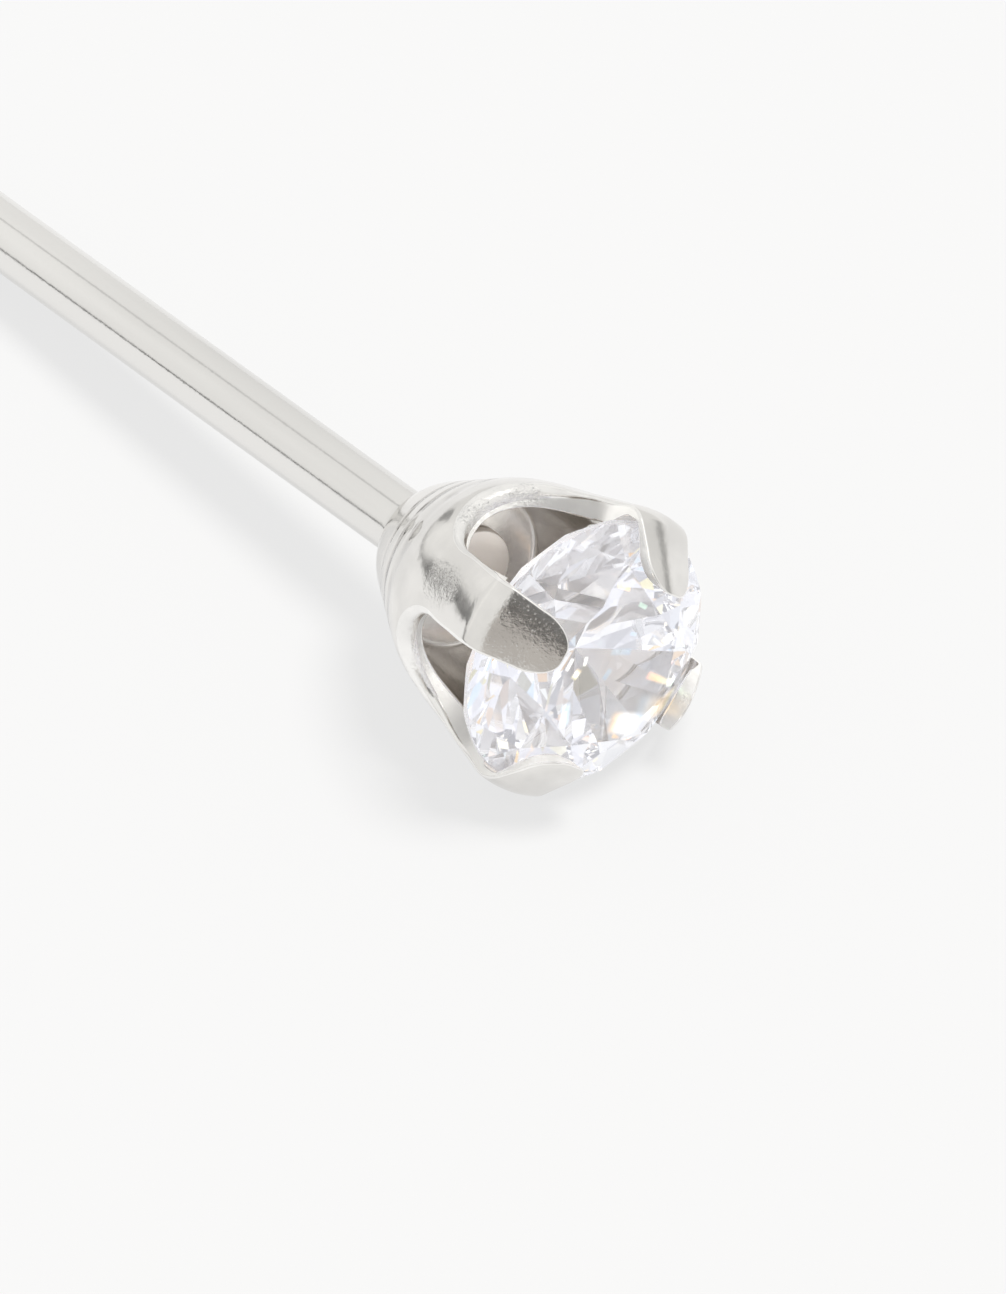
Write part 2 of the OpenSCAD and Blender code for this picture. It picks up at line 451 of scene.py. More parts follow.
outer_rim = outer_skin.points(outer_skin.rim)
inner_rim = inner_skin.points(inner_skin.rim)
cup_patches = [
    lay_grid(all_columns, inner_skin.rows, inner_skin.lower),
    lay_grid(CLAW_COLUMNS, claw_rows, inner_skin.claw),
    lay_strip(inner_skin.points(inner_skin.bank), inner_rim),
    lay_grid(all_columns, BORE_ROWS, bore_place),
]
patches = [
    lay_grid(all_columns, outer_skin.rows, outer_skin.lower),
    lay_grid(CLAW_COLUMNS, claw_rows, outer_skin.claw),
    lay_strip(outer_skin.points(outer_skin.bank), outer_rim),
    *cup_patches,
]
cut = lay_strip(outer_rim, inner_rim)
print("patches of one eighth:", len(patches) + 1)

# %% [markdown]
# The eighth is mirrored into a whole claw, and the claw is copied round the axis. Merging the
# doubles closes the seams. Each real claw was pressed over by itself, so each stands a little
# differently: the ones that open more lean outwards by a few hundredths of a millimetre.

# %% Four claws from one eighth
CUT_FINISH, RIM_FINISH, INSIDE_FINISH = 1, 2, 3
FINISH_NAMES = ("turned_steel", "cut_steel", "rim_steel", "unpolished_shaded_steel")
EIGHTH_MERGE = 0.0004
MERGE = 0.0005
RIM_TURN = math.radians(40)
SEAT_LOW_Z = 2.6
SEAT_HIGH_Z = 3.05
INNER_SLACK = 0.02
OPENS = [0.06, 0.0, 0.02, 0.05]
OPEN_Z = 2.0
OPEN_RISE = 1.6
setting_finishes = [bpy.data.materials.new(name) for name in FINISH_NAMES]
for patch in [*patches, cut]:
    for finish in setting_finishes:
        patch.data.materials.append(finish)
for patch, number in [(cut, CUT_FINISH), *((patch, INSIDE_FINISH) for patch in cup_patches)]:
    for face in patch.data.polygons:
        face.material_index = number

setting = pick(*patches, cut)
bpy.ops.object.join()
setting.name = "claw_setting_polished"
setting.data.name = "claw_setting_polished"
bpy.ops.object.mode_set(mode="EDIT")
bpy.ops.mesh.select_all(action="SELECT")
bpy.ops.mesh.remove_doubles(threshold=EIGHTH_MERGE)
bpy.ops.mesh.normals_make_consistent(inside=False)
bpy.ops.object.mode_set(mode="OBJECT")
mirror = setting.modifiers.new("Other half of the claw", "MIRROR")
mirror.use_axis = (False, True, False)
mirror.merge_threshold = MERGE
bpy.ops.object.modifier_apply(modifier=mirror.name)

bpy.ops.object.mode_set(mode="EDIT")
bpy.ops.mesh.select_mode(type="EDGE")
bpy.ops.mesh.select_all(action="DESELECT")
bpy.ops.mesh.edges_select_sharp(sharpness=RIM_TURN)
bpy.ops.object.mode_set(mode="OBJECT")
rim_share = setting.data.attributes.new("bevel_weight_edge", "FLOAT", "EDGE")
for edge, share in zip(setting.data.edges, rim_share.data):
    if edge.select:
        first, second = (setting.data.vertices[index].co for index in edge.vertices)
        middle = (first + second) / 2
        inside_r = inside.at(inside.at_height(middle.z))[0]
        inner = middle.xy.length < inside_r + INNER_SLACK
        seat = inner and SEAT_LOW_Z < middle.z < SEAT_HIGH_Z
        radius = SEAT_RIM_R if seat else RIM_R if inner else rim_radius(middle.z)
        share.value = radius / ROLL_R

quarters = []
for number, opens in enumerate(OPENS):
    pick(setting)
    bpy.ops.object.duplicate()
    quarter = bpy.context.object
    for corner in quarter.data.vertices:
        corner.co.x += opens * eased((corner.co.z - OPEN_Z) / OPEN_RISE)
    quarter.matrix_world = Matrix.Rotation(math.radians(45 + 90 * number), 4, "Z")
    bpy.ops.object.transform_apply(rotation=True)
    quarters.append(quarter)
bpy.data.objects.remove(setting)
setting = pick(*quarters)
bpy.ops.object.join()
setting.name = "claw_setting_polished"
bpy.ops.object.mode_set(mode="EDIT")
bpy.ops.mesh.select_all(action="SELECT")
bpy.ops.mesh.remove_doubles(threshold=MERGE)
bpy.ops.mesh.normals_make_consistent(inside=False)
told(setting)

# %% [markdown]
# The cutter leaves sharp edges, and polishing rounds them. The edges that turn by more than 40
# degrees are the rims of the slots and tips and the mouths of the bore, so they are picked by
# that angle and bevelled with five rows of faces, which catch thin lines of light. The outer rim
# was rolled at the bottom of each slot, so it is rounder there: each edge's share of the full
# width was written down before the claws were copied. The shading normals are then weighted by
# the size of the faces, so the large faces stay flat up to the rim.

# %% Rounded edges
pick(setting)
rounding = setting.modifiers.new("Rounded rims", "BEVEL")
rounding.limit_method = "WEIGHT"
rounding.width = ROLL_R
rounding.segments = 5
rounding.use_clamp_overlap = False
rounding.loop_slide = True
rounding.material = RIM_FINISH
bpy.ops.object.modifier_apply(modifier=rounding.name)
bpy.ops.object.mode_set(mode="EDIT")
bpy.ops.mesh.select_mode(type="EDGE")
bpy.ops.mesh.select_all(action="DESELECT")
bpy.ops.mesh.select_non_manifold()
bpy.ops.object.mode_set(mode="OBJECT")
open_edges = sum(edge.select for edge in setting.data.edges)
print("open edges of the setting:", open_edges)
bpy.ops.object.shade_smooth_by_angle(angle=math.radians(60))
weighted = setting.modifiers.new("Flat faces stay flat", "WEIGHTED_NORMAL")
weighted.keep_sharp = True
bpy.ops.object.modifier_apply(modifier=weighted.name)
lay_down(setting)
told(setting)

# %% [markdown]
# ## The post
#
# The post is a turned pin with a flat head inside the cup. It is drawn as a turner cuts it: a
# disc at the tail is extruded along the axis and resized at each step of the outline, with small
# steps where an edge is rounded.

# %% Post
POST_L = 10.5
TIP_L = 0.6
TIP_R = 0.16
NECK_R = 0.3
NECK_END_R = 0.27
HEAD_R = 0.495
HEAD_END_R = 0.485
HEAD_Z = FLOOR_Z + GAP
HEAD_TOP_Z = HEAD_Z + 0.08
ROUND = 0.014
TOP_ROUND = ROUND * 1.2
POST_SIDES = 96
post_outline = [
    *arc((0, -POST_L + TIP_R), TIP_R, math.radians(-84), math.radians(-3), 9),
    *smoothed([(TIP_R + 0.001, -POST_L + TIP_R), (POST_R - 0.004, -POST_L + TIP_L - 0.02)], 0.1),
    (POST_R, -POST_L + TIP_L + 0.02),
    *[(POST_R, z) for z in np.linspace(-POST_L + TIP_L + 0.2, -GAP - 0.1, 24)],
    *arc((POST_R - ROUND, -GAP - ROUND), ROUND, 0, math.radians(90), 5),
    (NECK_R, -GAP),
    (NECK_END_R, HEAD_Z),
    *arc((HEAD_R - ROUND, HEAD_Z + ROUND), ROUND, math.radians(-90), math.radians(15), 5),
    *arc(
        (HEAD_END_R - TOP_ROUND, HEAD_TOP_Z - TOP_ROUND),
        TOP_ROUND,
        math.radians(10),
        math.radians(90),
        6,
    ),
    (0.3, HEAD_TOP_Z),
    (0.15, HEAD_TOP_Z),
]
deselect()
start_r, start_z = post_outline[0]
bpy.ops.mesh.primitive_circle_add(
    vertices=POST_SIDES, radius=start_r, fill_type="NGON", location=(0, 0, start_z)
)
post = bpy.context.object
post.name = "post_polished"
bpy.ops.object.mode_set(mode="EDIT")
for (r, z), (next_r, next_z) in zip(post_outline, post_outline[1:]):
    bpy.ops.mesh.extrude_region_move(TRANSFORM_OT_translate={"value": (0, 0, next_z - z)})
    share = next_r / r
    bpy.ops.transform.resize(value=(share, share, 1), center_override=(0, 0, next_z))
bpy.ops.mesh.select_all(action="SELECT")
bpy.ops.mesh.normals_make_consistent(inside=False)
bpy.ops.object.mode_set(mode="OBJECT")
bpy.ops.object.transform_apply(location=True)
bpy.ops.object.shade_smooth_by_angle(angle=math.radians(40))
lay_down(post)
told(post)

# %% [markdown]
# ## The stone
#
# A brilliant is cut from a round blank by grinding one flat after another, and it is made the
# same way here: a cylinder is bisected by one plane for each facet, and the waste outside the
# plane is cleared. Crown and pavilion have eight main facets each, centred on the claws, with
# stars and paired halves between them.

# %% Stone
FACET_STEP = 22.5
BLANK_SIDES = 192
BLANK_SPARE = 0.2
STAR_R = (STONE_R + TABLE_R) / 2 * 1.02
STAR_Z = HALF_GIRDLE + (STONE_R - STAR_R * math.cos(math.radians(FACET_STEP))) * math.tan(CROWN)
LOW_R = 0.28 * STONE_R
LOW_Z = -HALF_GIRDLE - (STONE_R - LOW_R * math.cos(math.radians(FACET_STEP))) * math.tan(PAVILION)
TABLE_Z = HALF_GIRDLE + (STONE_R - TABLE_R) * math.tan(CROWN)
CULET_Z = -HALF_GIRDLE - STONE_R * math.tan(PAVILION)


def ring_point(r, step, z):
    """Point at a radius, a number of facet steps round the stone, and a height."""
    angle = math.radians(FACET_STEP * step)
    return Vector((r * math.cos(angle), r * math.sin(angle), z))


def grind(a, b, c):
    """Cuts the blank flat along the plane through three points, and keeps the side of the axis."""
    normal = (b - a).cross(c - a).normalized()
    if normal.dot(a) < 0:
        normal = -normal
    bpy.ops.mesh.select_all(action="SELECT")
    bpy.ops.mesh.bisect(
        plane_co=a, plane_no=normal, use_fill=True, clear_outer=True, threshold=0.00001
    )


deselect()
bpy.ops.mesh.primitive_cylinder_add(
    vertices=BLANK_SIDES,
    radius=STONE_R,
    depth=TABLE_Z - CULET_Z + BLANK_SPARE,
    location=(0, 0, (TABLE_Z + CULET_Z) / 2),
)
stone = bpy.context.object
stone.name = "stone_cut"
bpy.ops.object.transform_apply(location=True)
bpy.ops.object.mode_set(mode="EDIT")
top_centre = Vector((0, 0, TABLE_Z))
bpy.ops.mesh.select_all(action="SELECT")
bpy.ops.mesh.bisect(plane_co=top_centre, plane_no=(0, 0, 1), use_fill=True, clear_outer=True)
for i in range(0, 16, 2):
    star_before = ring_point(STAR_R, i - 1, STAR_Z)
    star_after = ring_point(STAR_R, i + 1, STAR_Z)
    rim = ring_point(STONE_R, i, HALF_GIRDLE)
    half_rim_after = ring_point(STONE_R, i + 1, HALF_GIRDLE)
    half_rim_before = ring_point(STONE_R, i - 1, HALF_GIRDLE)
    grind(ring_point(TABLE_R, i, TABLE_Z), star_before, star_after)
    grind(ring_point(TABLE_R, i, TABLE_Z), ring_point(TABLE_R, i + 2, TABLE_Z), star_after)
    grind(star_after, rim, half_rim_after)
    grind(star_before, rim, half_rim_before)
    low_after = ring_point(LOW_R, i + 1, LOW_Z)
    low_before = ring_point(LOW_R, i - 1, LOW_Z)
    grind(Vector((0, 0, CULET_Z)), low_before, low_after)
    low_rim = ring_point(STONE_R, i, -HALF_GIRDLE)
    grind(low_after, low_rim, ring_point(STONE_R, i + 1, -HALF_GIRDLE))
    grind(low_before, low_rim, ring_point(STONE_R, i - 1, -HALF_GIRDLE))
bpy.ops.mesh.select_all(action="SELECT")
bpy.ops.mesh.remove_doubles(threshold=MERGE)
bpy.ops.mesh.normals_make_consistent(inside=False)
bpy.ops.transform.translate(value=(0, 0, GIRDLE_Z))
bpy.ops.object.mode_set(mode="OBJECT")
bpy.ops.object.shade_flat()
lay_down(stone)
told(stone)
print("faces of the stone:", len(stone.data.polygons))

# %% [markdown]
# ## Finishes
#
# Every finish is a small tree of nodes. The pieces lie on their side and are measured in metres,
# so the Object coordinates are first turned back to the standing stud and scaled to millimetres.
# Then rings round the axis and specks of a real size are easy to write.

# %% Helpers for node trees
def node(tree, kind, inputs=None, **settings):
    """Adds a node, sets its options, and fills its inputs with numbers or other nodes' outputs."""
    made = tree.nodes.new(kind)
    for key, value in settings.items():
        setattr(made, key, value)
    for key, value in (inputs or {}).items():
        if isinstance(value, bpy.types.NodeSocket):
            tree.links.new(value, made.inputs[key])
        else:
            made.inputs[key].default_value = value
    return made


def maths(tree, operation, a, b=0.0):
    """A number worked out from one or two others."""
    return node(tree, "ShaderNodeMath", {0: a, 1: b}, operation=operation).outputs[0]


def plus(tree, a, b):
    """The sum of two numbers."""
    return maths(tree, "ADD", a, b)


def times(tree, a, b):
    """The product of two numbers."""
    return maths(tree, "MULTIPLY", a, b)


def vector_maths(tree, operation, a, b):
    """The outputs, Vector and Value, of a step with two vectors."""
    return node(tree, "ShaderNodeVectorMath", {0: a, 1: b}, operation=operation).outputs


def part_along(tree, vector, axis):
    """The part of a vector along X, Y or Z."""
    return node(tree, "ShaderNodeSeparateXYZ", {"Vector": vector}).outputs[axis]


def ranged(tree, value, low, high, start=0.0, end=1.0):
    """Turns a value between low and high into one between start and end, with soft ends."""
    inputs = {"Value": value, "From Min": low, "From Max": high, "To Min": start, "To Max": end}
    return node(tree, "ShaderNodeMapRange", inputs, interpolation_type="SMOOTHSTEP").outputs[0]


def noise(tree, vector, scale, detail=3.0, roughness=0.55):
    """A soft random pattern from 0 to 1. The scale is in waves per unit of the vector."""
    inputs = {"Vector": vector, "Scale": scale, "Detail": detail, "Roughness": roughness}
    return node(tree, "ShaderNodeTexNoise", inputs).outputs["Fac"]


def mixed_colour(tree, factor, a, b):
    """Colour a, mixed by a factor with colour b."""
    mix = node(tree, "ShaderNodeMix", {"Factor": factor, "A": a, "B": b}, data_type="RGBA")
    return mix.outputs["Result"]


def new_material(name):
    """An emptied material of that name, its node tree, and its output node."""
    material = bpy.data.materials.get(name) or bpy.data.materials.new(name)
    material.use_nodes = True
    material.node_tree.nodes.clear()
    output = material.node_tree.nodes.new("ShaderNodeOutputMaterial")
    return material, material.node_tree, output


def stud_coordinates(tree, stretch=(1, 1, 1)):
    """Coordinates of the standing stud in millimetres, stretched if asked."""
    turn = TURN.to_3x3().inverted()
    placing = {
        "Vector": node(tree, "ShaderNodeTexCoord").outputs["Object"],
        "Scale": (1 / MM, 1 / MM, 1 / MM),
        "Rotation": turn.to_euler(),
        "Location": -(turn @ Vector((0, SHIFT_Y, LIFT))),
    }
    standing = node(tree, "ShaderNodeMapping", placing).outputs[0]
    if stretch == (1, 1, 1):
        return standing
    return node(tree, "ShaderNodeMapping", {"Vector": standing, "Scale": stretch}).outputs[0]


# %% [markdown]
# The metal is steel: very light, a trace warm, and on the outside almost a mirror. What makes it
# real is the disturbance of the mirror: lines drawn along the post, turning marks on the bell, and
# a torn grain at the bottom of the slots. The grooves of the turning marks are darkened with
# painted shade. The cut faces of the slots were never polished, so they are mostly matte and look
# light from every side. Near the tips they mirror again. The inside of the cup is duller, because
# no polishing wheel gets there, and its colour is greyer with painted shade.

# %% Marks in the metal
# Grey of the painted shade in the turning grooves.
GROOVE_SHADE_GREY = (0.45, 0.43, 0.41, 1)
PIT_SCALE = 24.0
WAVE_SCALE = 13.0
WAVE_DEPTH = 3.2


def lathe_rings(tree, height, rings):
    """Shallow grooves round the axis at given heights: each ring is a height, a width, a depth."""
    total = 0.0
    for at, width, depth in rings:
        away = maths(tree, "ABSOLUTE", maths(tree, "SUBTRACT", height, at))
        total = plus(tree, total, ranged(tree, away, 0.0, width, -depth, 0.0))
    return total


def torn_grain(tree, standing, grain):
    """Height of torn metal: small round pits here and there, on coarser waves without a pattern."""
    voronoi = node(tree, "ShaderNodeTexVoronoi", {"Vector": standing, "Scale": PIT_SCALE})
    pits = ranged(tree, voronoi.outputs["Distance"], 0.1, 0.45, 0.55, 0.0)
    pits = times(tree, pits, ranged(tree, grain, 0.45, 0.65))
    waves = maths(tree, "SUBTRACT", noise(tree, standing, WAVE_SCALE, 4.0, 0.62), 0.5)
    return plus(tree, pits, times(tree, waves, WAVE_DEPTH))


# %% Steel
BUMP_DEPTH = 0.0035 * MM
HEAD_TINT = (0.98, 0.93, 0.87, 1)
TIP_METAL = 0.75


def steel(
    name,
    tint,
    roughness,
    stretch=(1, 1, 1),
    wave=1.0,
    rings=(),
    torn=(),
    dents=(),
    head=False,
    metal=1.0,
):
    """A finish of steel. Its fine lines are drawn out by stretch, and wave is their depth. Each of
    rings is a groove, whose colour is darkened with painted shade. Each of torn holds two heights,
    between which the torn grain sets in, and its depth, and each of dents the middle, reach and
    depth of a rough spot. With head, what is inside the cup is duller. metal is the share that
    mirrors below the tips, and the rest is matte."""
    material, tree, output = new_material(name)
    standing = stud_coordinates(tree)
    drawn = stud_coordinates(tree, stretch)
    axial = part_along(tree, standing, "Z")
    lines = noise(tree, drawn, 9.0, 4.0, 0.6)
    cloud = noise(tree, drawn, 1.7, 3.0, 0.5)
    grain = noise(tree, standing, 60.0, 2.0, 0.5)
    darker = (*(value * 0.93 for value in tint), 1)
    lighter = (*(min(1.0, value * 1.04) for value in tint), 1)
    colour = mixed_colour(tree, ranged(tree, cloud, 0.35, 0.65), darker, lighter)
    rough = ranged(tree, plus(tree, lines, grain), 0.7, 1.3, roughness * 0.75, roughness * 1.3)
    height = plus(tree, times(tree, lines, 0.25 * wave), times(tree, cloud, 1.6 * wave))
    if rings:
        worn = ranged(tree, cloud, 0.4, 0.6, 0.3, 1.0)
        grooves = times(tree, lathe_rings(tree, axial, rings), worn)
        height = plus(tree, height, grooves)
        # Painted shade: the colour darkens towards the grey with the depth of each groove.
        groove_shade = ranged(tree, grooves, -5.0, 0.0, 1.0, 0.0)
        colour = mixed_colour(tree, groove_shade, colour, GROOVE_SHADE_GREY)
    rough_places = [ranged(tree, axial, low, high, 0.0, depth) for low, high, depth in torn]
    for middle, reach, depth in dents:
        away = vector_maths(tree, "DISTANCE", standing, middle)["Value"]
        rough_places.append(ranged(tree, away, 0.5 * reach, reach, depth, 0.0))
    rough_grain = torn_grain(tree, standing, grain)
    for place in rough_places:
        height = plus(tree, height, times(tree, rough_grain, place))
    bump = node(tree, "ShaderNodeBump", {"Height": height, "Strength": 1.0, "Distance": BUMP_DEPTH})
    if head:
        in_cup = ranged(tree, axial, 0.85, 0.9)
        colour = mixed_colour(tree, in_cup, colour, HEAD_TINT)
        rough = plus(tree, rough, times(tree, in_cup, 0.25))
    if metal < 1:
        metal = ranged(tree, axial, 2.5, 2.8, metal, TIP_METAL)
    surface = node(
        tree,
        "ShaderNodeBsdfPrincipled",
        {"Base Color": colour, "Metallic": metal, "Roughness": rough, "Normal": bump.outputs[0]},
    )
    tree.links.new(surface.outputs[0], output.inputs["Surface"])
    return material


# %% The five finishes of steel
TURNING = [(0.58, 0.05, 2.4), (0.80, 0.07, 3.0), (1.03, 0.12, 3.4)]
DENTS = [((-1.06, 0.99, 2.05), 0.42, 0.5), ((-0.84, 0.93, 3.33), 0.8, 0.55)]
BURRS = [
    ((-0.30, 1.22, 1.61), 0.2, 2.7),
    ((-0.12, 1.24, 1.58), 0.14, 2.2),
    ((0.35, 1.17, 1.68), 0.2, 2.9),
    ((0.76, -0.68, 3.53), 0.12, 1.5),
    ((-1.30, -0.78, 3.10), 0.12, 1.5),
]
DRAWN_OUT = (1, 1, 0.06)
steel("turned_steel", (0.815, 0.80, 0.775), 0.12, rings=TURNING, dents=DENTS)
steel("cut_steel", (0.95, 0.94, 0.915), 0.45, torn=[(1.95, 1.7, 2.0)], dents=BURRS, metal=0.15)
steel("rim_steel", (0.93, 0.92, 0.90), 0.16, torn=[(1.85, 1.65, 1.0)], dents=BURRS)
# Inside of the cup: rougher, as it is unpolished, and a darker colour as painted shade.
steel("unpolished_shaded_steel", (0.735, 0.71, 0.68), 0.2)
drawn_steel = steel(
    "drawn_steel",
    (0.805, 0.795, 0.775),
    0.12,
    DRAWN_OUT,
    wave=0.3,
    torn=[(0.9, 0.8, 0.09)],
    head=True,
)
post.data.materials.clear()
post.data.materials.append(drawn_steel)
print("steel finishes:", [slot.name for slot in (*setting.material_slots, *post.material_slots)])

# %% [markdown]
# The stone is clear, with a strong refraction and a breath of lavender. Its girdle is ground but
# not polished, so the faces round the edge are frosted. A real stone also splits light into
# colours, its fire, and so much light wanders about in it that no facet goes black, so it gets a
# faint painted glow of its own. A renderer that follows one refraction for all colours can't split
# them, so each flash is painted on the facet where it shows: a short streak between two points,
# with a ramp of colours along it, that tints the light and glows a little.

# %% Streaks of painted colour
def ramp(tree, value, stops):
    """A ramp of colours: each stop is a place from 0 to 1 and a colour."""
    made = node(tree, "ShaderNodeValToRGB", {"Fac": value})
    elements = made.color_ramp.elements
    while len(elements) < len(stops):
        elements.new(0.5)
    for element, (at, colour) in zip(elements, stops):
        element.position = at
        element.color = (*colour, 1)
    return made.outputs[0]


def streak(tree, standing, start, end, half_width):
    """How strongly a streak from start to end shows, and how far along it a point lies."""
    start = Vector(start)
    line = Vector(end) - start
    soft = 0.5 * half_width / line.length
    away = vector_maths(tree, "SUBTRACT", standing, start)[0]
    along = vector_maths(tree, "DOT_PRODUCT", away, line / line.length**2)["Value"]
    scaling = {0: line, "Scale": along}
    foot = node(tree, "ShaderNodeVectorMath", scaling, operation="SCALE").outputs[0]
    aside = vector_maths(tree, "DISTANCE", away, foot)["Value"]
    begun = ranged(tree, along, -soft, soft)
    not_ended = ranged(tree, along, 1 - soft, 1 + soft, 1.0, 0.0)
    beside = ranged(tree, aside, 0.35 * half_width, half_width, 1.0, 0.0)
    return times(tree, times(tree, begun, not_ended), beside), along


# %% Colours of the fire, and where each flash lies
RED = (1.0, 0.50, 0.36)
ORANGE = (1.0, 0.66, 0.36)
GOLD = (0.98, 0.76, 0.50)
YELLOW = (1.0, 0.94, 0.62)
WHITE = (1.0, 1.0, 0.97)
GREEN = (0.70, 1.0, 0.82)
SKY = (0.70, 0.86, 1.0)
BLUE = (0.58, 0.78, 1.0)
# Each flash is its start, its end, its half width, its glow and the colours along it.
# Painted flashes: each tints the stone's colour and makes it glow along its streak.
FLASHES = [
    ((0.447, -0.256, 3.405), (0.79, -0.585, 3.35), 0.06, 0.7, (RED, ORANGE, YELLOW, GREEN)),
    ((-0.06, -0.60, 3.405), (0.27, -0.80, 3.38), 0.16, 0.8, (ORANGE, WHITE, WHITE, BLUE)),
    ((-0.08, -0.76, 3.405), (0.2, -1.0, 3.3), 0.035, 0.4, (ORANGE, RED)),
    ((0.30, -0.60, 3.405), (0.83, -0.90, 3.16), 0.2, 0.32, (SKY, GOLD, GOLD, YELLOW)),
    ((-0.59, -0.08, 3.405), (-0.65, -0.32, 3.405), 0.08, 0.5, (SKY, BLUE, SKY)),
    ((0.272, 0.956, 3.323), (0.398, 0.849, 3.344), 0.04, 0.6, (YELLOW, ORANGE)),
    ((0.45, 0.66, 3.405), (0.53, 0.57, 3.405), 0.035, 0.4, (GREEN, GREEN)),
    ((1.13, 0.06, 3.2), (1.28, -0.05, 3.11), 0.08, 0.95, (YELLOW, WHITE, WHITE, ORANGE)),
    ((-0.70, 0.30, 3.405), (-0.62, 0.33, 3.405), 0.05, 0.95, (SKY, WHITE)),
    ((-0.53, 0.33, 3.405), (-0.44, 0.43, 3.405), 0.035, 0.95, (WHITE, WHITE)),
    ((-0.46, 0.19, 3.405), (-0.38, 0.25, 3.405), 0.055, 0.9, (YELLOW, WHITE, GOLD)),
    ((-0.31, 0.27, 3.405), (-0.27, 0.36, 3.405), 0.03, 0.9, (WHITE, WHITE)),
    ((0.68, 0.04, 3.405), (0.80, 0.07, 3.405), 0.06, 0.8, (GOLD, WHITE, WHITE)),
    ((0.90, -0.11, 3.365), (0.96, -0.04, 3.34), 0.035, 0.45, (RED, RED)),
    ((0.04, 0.26, 3.405), (0.27, 0.14, 3.405), 0.05, 0.13, (SKY, SKY, BLUE)),
    ((-0.10, -0.02, 3.405), (0.0, 0.06, 3.405), 0.05, 0.14, (BLUE, SKY)),
    ((0.30, 0.36, 3.405), (0.37, 0.31, 3.405), 0.03, 0.18, (BLUE, SKY)),
]
print("flashes on the stone:", len(FLASHES))

# %% Clear stone and its frosted edge
REFRACTION = 2.15
LAVENDER_DEEP = (0.905, 0.92, 0.96, 1)
LAVENDER_PALE = (0.94, 0.95, 0.975, 1)
# Painted glow that the stone gives off everywhere, so that no facet goes black.
PAINTED_GLOW = (0.028, 0.028, 0.030, 1)
FROST = 0.25
GIRDLE_FACING = 0.05


def clear_stone(name, roughness, flashes=()):
    """A clear stone with a faint painted glow, and the given flashes painted on its facets."""
    material, tree, output = new_material(name)
    standing = stud_coordinates(tree)
    cloud = noise(tree, standing, 1.3, 2.0)
    tint = mixed_colour(tree, ranged(tree, cloud, 0.35, 0.65), LAVENDER_DEEP, LAVENDER_PALE)
    fine = noise(tree, standing, 40.0, 2.0)
    rough = ranged(tree, fine, 0.3, 0.7, roughness, roughness * 1.5 + 0.004)
    painted_glow = PAINTED_GLOW
    for start, end, half_width, strength, colours in flashes:
        shown, along = streak(tree, standing, start, end, half_width)
        stops = [(i / (len(colours) - 1), colour) for i, colour in enumerate(colours)]
        colour = ramp(tree, along, stops)
        # Painted flash: the streak's colours tint the stone and add to its painted glow.
        tint = mixed_colour(tree, shown, tint, colour)
        painted_glow = mixed_colour(tree, times(tree, shown, strength), painted_glow, colour)
    surface = node(
        tree,
        "ShaderNodeBsdfPrincipled",
        {
            "Base Color": tint,
            "Roughness": rough,
            "IOR": REFRACTION,
            "Transmission Weight": 1.0,
            "Emission Color": painted_glow,
            "Emission Strength": 1.0,
        },
    )
    tree.links.new(surface.outputs[0], output.inputs["Surface"])
    return material


stone.data.materials.clear()
stone.data.materials.append(clear_stone("clear_stone", 0.0, FLASHES))
stone.data.materials.append(clear_stone("frosted_girdle", FROST))
axis = Vector((0, -math.cos(TILT), math.sin(TILT)))
girdle_faces = [
    face for face in stone.data.polygons if abs(face.normal.dot(axis)) < GIRDLE_FACING
]
for face in girdle_faces:
    face.material_index = 1
print("girdle faces:", len(girdle_faces))

# %% [markdown]
# ## Camera
#
# The photograph was taken with a long lens from above and behind the stone's left side. The
# camera is described as a photographer would: where it stands, how far it is turned, and where
# the middle of the stone falls in the picture.

# %% Camera
AZIMUTH = math.radians(-34.65)
ELEVATION = math.radians(41.14)
ROLL = math.radians(3.82)
DISTANCE = 170.0
PX_PER_MM = 97.3
IMAGE = (1006, 1294)
GIRDLE_PIXEL = (582.7, 653.4)
SENSOR = 36

back = Vector(
    (
        math.sin(AZIMUTH) * math.cos(ELEVATION),
        -math.cos(AZIMUTH) * math.cos(ELEVATION),
        math.sin(ELEVATION),
    )
)
level_right = Vector((math.cos(AZIMUTH), math.sin(AZIMUTH), 0))
level_up = back.cross(level_right)
right = level_right * math.cos(ROLL) - level_up * math.sin(ROLL)
up = level_up * math.cos(ROLL) + level_right * math.sin(ROLL)

girdle = Matrix.Translation((0, SHIFT_Y, LIFT)) @ TURN @ Vector((0, 0, GIRDLE_Z))
aim = (
    girdle
    - right * (GIRDLE_PIXEL[0] - IMAGE[0] / 2) / PX_PER_MM
    + up * (GIRDLE_PIXEL[1] - IMAGE[1] / 2) / PX_PER_MM
)
stands_at = aim + back * DISTANCE
camera_data = bpy.data.cameras.new("photo_camera")
camera_data.sensor_fit = "VERTICAL"
camera_data.sensor_height = SENSOR
camera_data.lens = SENSOR * DISTANCE * PX_PER_MM / IMAGE[1]
camera_data.clip_start = 0.01
camera_data.clip_end = 20
camera = bpy.data.objects.new("photo_camera", camera_data)
bpy.context.scene.collection.objects.link(camera)
place = Matrix((right, up, back)).transposed().to_4x4()
place.translation = stands_at * MM
camera.matrix_world = place
bpy.context.scene.camera = camera
print("camera at, mm:", [round(value, 2) for value in stands_at])
print("lens, mm:", round(camera_data.lens, 1))

# %% [markdown]
# ## Studio
#
# The stud lies on white card in a white tent. The card is a plane with a plain matte surface. Most
# of its light is its own glow, so that the shadow on it stays as pale as in the photograph, where
# light comes from all sides.

